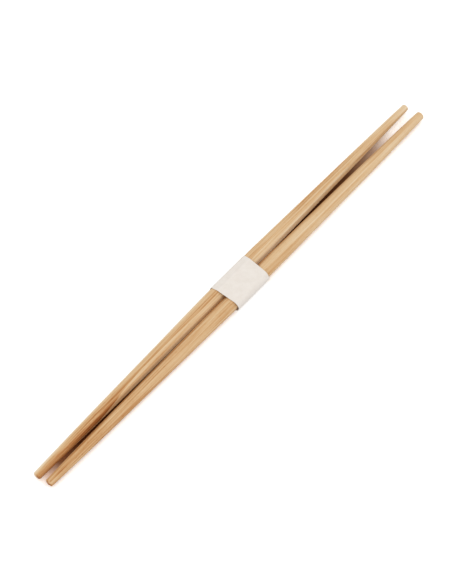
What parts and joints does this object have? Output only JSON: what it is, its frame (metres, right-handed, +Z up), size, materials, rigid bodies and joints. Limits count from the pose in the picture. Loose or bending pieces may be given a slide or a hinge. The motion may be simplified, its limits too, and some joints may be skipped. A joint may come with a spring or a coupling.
{
  "type": "banded bamboo chopsticks",
  "caption": "Disposable double-ended bamboo chopsticks lying side by side, eight-sided and thickest in the middle with rounded tips, held together by a plain paper band.",
  "frame": {"origin": "middle of the pair, on the underside of the paper band where it rests on the table", "axes": "+X along the sticks towards the ends that spread further apart, +Y towards the left stick, +Z up"},
  "size_m": [0.241, 0.0152, 0.007],
  "materials": {
    "bamboo": "satin",
    "paper": "matte"
  },
  "bodies": {
    "root": {"left_stick": "bamboo", "right_stick": "bamboo", "paper_band": "paper"}
  },
  "joints": []
}
